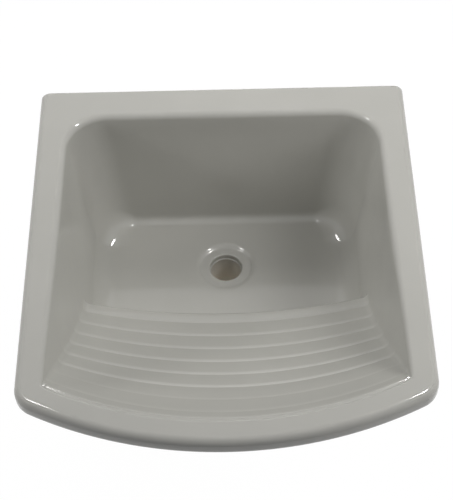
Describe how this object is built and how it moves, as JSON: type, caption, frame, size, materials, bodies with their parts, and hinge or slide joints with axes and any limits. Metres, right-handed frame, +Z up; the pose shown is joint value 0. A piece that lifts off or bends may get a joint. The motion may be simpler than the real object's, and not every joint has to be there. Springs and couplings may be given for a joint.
{
  "type": "utility laundry sink",
  "caption": "Wall-hung ceramic laundry sink: deep tapered bowl, fluted wash board sloping up to a bowed front rim, waste outlet in the floor, wall bolts in a rear skirt.",
  "frame": {"origin": "on the flat rear face that stands against the wall, midway between the two wall bolts, 70 mm below the rim", "axes": "+X to the right seen from the front, +Y into the wall, +Z up; the bowed front faces -Y"},
  "size_m": [0.5, 0.625, 0.286],
  "materials": {
    "glaze": "glossy warm white glaze",
    "waste_plastic": "moulded white plastic",
    "rubber": "matt black rubber",
    "nylon": "natural nylon",
    "zinc_steel": "bright zinc plate"
  },
  "bodies": {
    "root": {"basin": "glaze", "waste_body": "waste_plastic", "waste_top_gasket": "rubber", "waste_under_gasket": "rubber", "waste_slip_washer": "nylon", "waste_locknut": "waste_plastic", "wall_bolt_left": "zinc_steel", "wall_bush_left": "nylon", "wall_washer_left": "zinc_steel", "wall_nut_left": "zinc_steel", "wall_bolt_right": "zinc_steel", "wall_bush_right": "nylon", "wall_washer_right": "zinc_steel", "wall_nut_right": "zinc_steel"}
  },
  "joints": []
}
